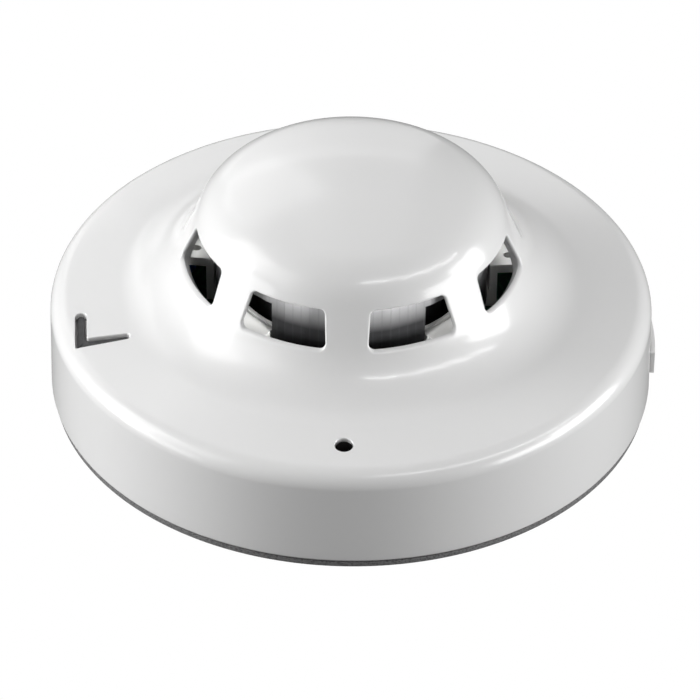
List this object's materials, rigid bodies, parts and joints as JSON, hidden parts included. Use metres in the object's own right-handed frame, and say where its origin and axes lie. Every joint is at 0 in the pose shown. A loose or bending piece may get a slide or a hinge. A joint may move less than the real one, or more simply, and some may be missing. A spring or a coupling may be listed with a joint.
{
  "type": "heat detector",
  "caption": "Round white ceiling heat detector: low skirt, raised cage with air windows round a dark sensing chamber, lamp dot, twist-off head on a mounting base.",
  "frame": {"origin": "on the detector's axis at the ceiling-side back face of the base", "axes": "+Z out of the ceiling-side face towards the dome, -Y towards the indicator lamp, +X towards the latch tab"},
  "size_m": [0.1007, 0.1, 0.042],
  "materials": {
    "cover_white": "smooth moulded white ABS, satin gloss",
    "base_white": "matt moulded white polycarbonate",
    "chamber_base_white": "satin moulded white plastic",
    "chassis_black": "fine-textured black plastic",
    "gasket_foam": "dark closed-cell foam",
    "mark_grey": "dark grey inlay",
    "lamp_smoked": "clear-moulded smoked red light pipe",
    "lamp_red": "red epoxy lamp body",
    "board_green": "solder-masked glass-epoxy board",
    "component_black": "black moulded epoxy",
    "capacitor_sleeve": "dark sleeve on a capacitor can",
    "varistor_blue": "blue dipped epoxy",
    "resistor_tan": "tan lacquer",
    "screw_steel": "zinc-plated steel",
    "spring_steel": "bright spring wire",
    "contact_brass": "rolled brass, lightly tarnished",
    "chamber_dark": "dark-anodised spun aluminium",
    "diaphragm_bronze": "thin phosphor-bronze foil",
    "fusible_alloy": "cast low-melting alloy"
  },
  "bodies": {
    "base": {"mounting_base": "base_white", "base_gasket": "gasket_foam", "terminal_clip_1": "contact_brass", "terminal_clip_2": "contact_brass", "terminal_clip_3": "contact_brass", "terminal_clip_4": "contact_brass", "clamp_washer_1": "screw_steel", "clamp_washer_2": "screw_steel", "clamp_washer_3": "screw_steel", "clamp_washer_4": "screw_steel"},
    "head": {"outer_cover": "cover_white", "locating_mark": "mark_grey", "light_pipe": "lamp_smoked", "lamp": "lamp_red", "inner_chassis": "chassis_black", "circuit_board": "board_green", "contact_blade_1": "contact_brass", "contact_blade_2": "contact_brass", "contact_blade_3": "contact_brass", "contact_blade_4": "contact_brass", "cover_screw_1": "screw_steel", "cover_screw_2": "screw_steel", "cover_screw_3": "screw_steel", "board_screw_1": "screw_steel", "board_screw_2": "screw_steel", "board_screw_3": "screw_steel", "controller_chip": "component_black", "line_capacitor": "capacitor_sleeve", "surge_varistor": "varistor_blue", "switching_transistor": "component_black", "diode_1": "component_black", "diode_2": "component_black", "diode_3": "component_black", "diode_4": "component_black", "resistor_1": "resistor_tan", "resistor_2": "resistor_tan", "resistor_3": "resistor_tan", "resistor_4": "resistor_tan", "chamber_base": "chamber_base_white", "air_chamber": "chamber_dark", "leak_valve": "contact_brass", "contact_bushing": "contact_brass", "element_housing": "contact_brass", "fusible_collar": "fusible_alloy", "plunger_spring": "spring_steel", "release_spring": "spring_steel"},
    "release_tab": {"release_tab": "cover_white"},
    "diaphragm": {"diaphragm": "diaphragm_bronze", "moving_contact": "contact_brass"},
    "plunger": {"release_plunger": "screw_steel"},
    "calibration_screw": {"calibration_screw": "screw_steel"},
    "terminal_screw_1": {"terminal_screw_1": "screw_steel"},
    "terminal_screw_2": {"terminal_screw_2": "screw_steel"},
    "terminal_screw_3": {"terminal_screw_3": "screw_steel"},
    "terminal_screw_4": {"terminal_screw_4": "screw_steel"}
  },
  "joints": [
    {"name": "head_twist", "type": "hinge", "parent": "base", "child": "head", "pos_m": [0, 0, 0.004], "axis": [0, 0, 1], "range_deg": [0, 18]},
    {"name": "release_tab_press", "type": "slide", "parent": "head", "child": "release_tab", "axis": [-0.9994, -0.0349, 0], "range_m": [0, 0.0012], "stiffness_N_per_m": 600, "springref_m": -0.001, "deforming": ["release_spring"]},
    {"name": "diaphragm_flex", "type": "slide", "parent": "head", "child": "diaphragm", "axis": [0, 0, -1], "range_m": [0, 0.0004], "stiffness_N_per_m": 300, "springref_m": -0.0002},
    {"name": "plunger_drop", "type": "slide", "parent": "head", "child": "plunger", "axis": [0, 0, -1], "range_m": [0, 0.0007], "deforming": ["plunger_spring"]},
    {"name": "calibration_turn", "type": "hinge", "parent": "head", "child": "calibration_screw", "pos_m": [0, 0, 0.012], "axis": [0, 0, 1], "continuous": true},
    {"name": "terminal_screw_1_turn", "type": "hinge", "parent": "base", "child": "terminal_screw_1", "pos_m": [0.01379, -0.01379, 0.0055], "axis": [0, 0, 1], "continuous": true},
    {"name": "terminal_screw_2_turn", "type": "hinge", "parent": "base", "child": "terminal_screw_2", "pos_m": [0.01379, 0.01379, 0.0055], "axis": [0, 0, 1], "continuous": true},
    {"name": "terminal_screw_3_turn", "type": "hinge", "parent": "base", "child": "terminal_screw_3", "pos_m": [-0.01379, 0.01379, 0.0055], "axis": [0, 0, 1], "continuous": true},
    {"name": "terminal_screw_4_turn", "type": "hinge", "parent": "base", "child": "terminal_screw_4", "pos_m": [-0.01379, -0.01379, 0.0055], "axis": [0, 0, 1], "continuous": true}
  ]
}
